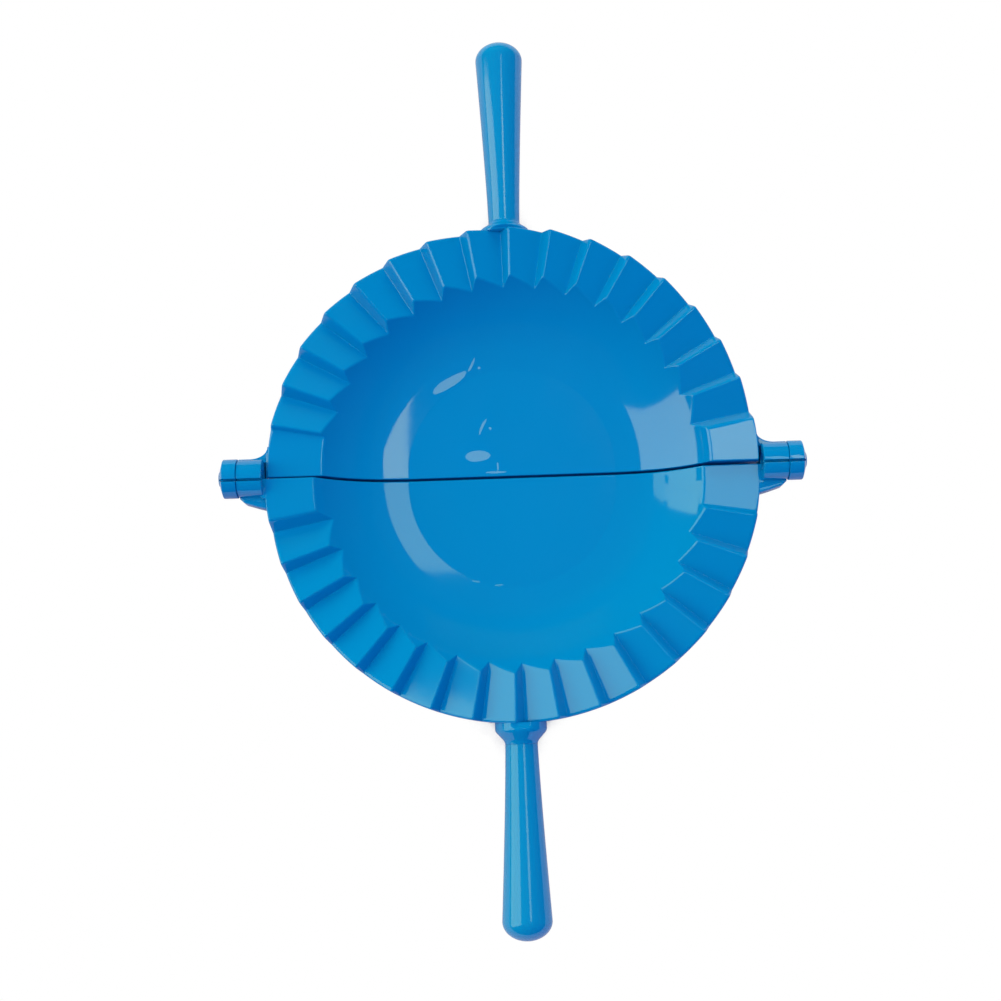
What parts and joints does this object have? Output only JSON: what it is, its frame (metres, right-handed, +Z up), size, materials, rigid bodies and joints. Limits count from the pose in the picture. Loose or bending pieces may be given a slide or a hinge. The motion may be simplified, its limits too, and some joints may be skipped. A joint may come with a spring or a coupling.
{
  "type": "empanada press",
  "caption": "Plastic hand press whose hinged, crimped half bowls fold together by their round club handles to seal a filled dough pocket.",
  "frame": {"origin": "on the surface the open press lies on, under the middle of the hinge", "axes": "+X along the hinge to the right of the picture, +Y along the upper handle, +Z up out of the bowls"},
  "size_m": [0.1788, 0.2808, 0.022],
  "materials": {
    "shell_plastic": "glossy moulded cyan-blue plastic",
    "handle_plastic": "glossy moulded cyan-blue plastic",
    "pin_plastic": "glossy moulded cyan-blue plastic"
  },
  "bodies": {
    "lower_half": {"lower_shell": "shell_plastic", "lower_handle": "handle_plastic"},
    "upper_half": {"upper_shell": "shell_plastic", "upper_handle": "handle_plastic", "left_hinge_pin": "pin_plastic", "right_hinge_pin": "pin_plastic"}
  },
  "joints": [
    {"name": "fold_hinge", "type": "hinge", "parent": "lower_half", "child": "upper_half", "pos_m": [0, 0, 0.016], "axis": [1, 0, 0], "range_deg": [0, 180]}
  ]
}
